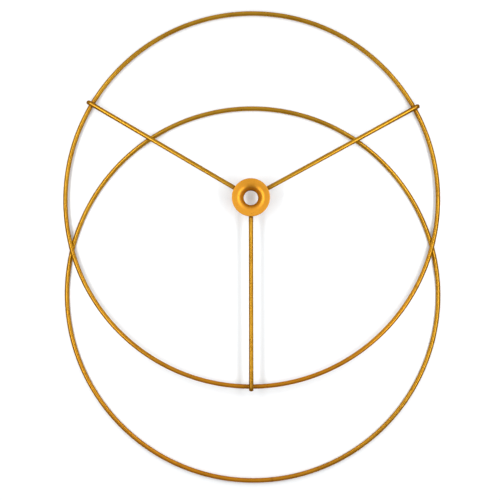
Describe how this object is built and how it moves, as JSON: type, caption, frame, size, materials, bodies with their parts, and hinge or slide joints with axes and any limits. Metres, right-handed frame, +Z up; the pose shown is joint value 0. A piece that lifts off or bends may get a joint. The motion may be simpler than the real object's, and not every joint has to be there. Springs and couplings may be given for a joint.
{
  "type": "lampshade ring frame",
  "caption": "Wire ring with a radial spider and dished, bored hub washer, lying across a matching plain ring; top and bottom of a drum lampshade, also a wreath base.",
  "frame": {"origin": "under the middle of the outline of both rings as they lie, on the surface they lie on", "axes": "+Z up; +Y from the bottom ring's centre towards the top ring's centre, the longest way across both rings; +X to the right of a viewer at the -Y side"},
  "size_m": [0.3004, 0.3762, 0.0151],
  "materials": {
    "gold_wire": "satin gold finish on drawn steel wire",
    "gold_washer": "semi-gloss gold finish on pressed steel sheet"
  },
  "bodies": {
    "bottom": {"bottom_ring": "gold_wire"},
    "top": {"top_ring": "gold_wire", "spider_arm_left": "gold_wire", "spider_arm_right": "gold_wire", "spider_arm_front": "gold_wire", "hub_washer": "gold_washer"}
  },
  "joints": [
    {"name": "top_ring_lift", "type": "slide", "parent": "bottom", "child": "top", "axis": [0.0034, -0.3548, 0.9349], "range_m": [0, 0.2139]}
  ]
}
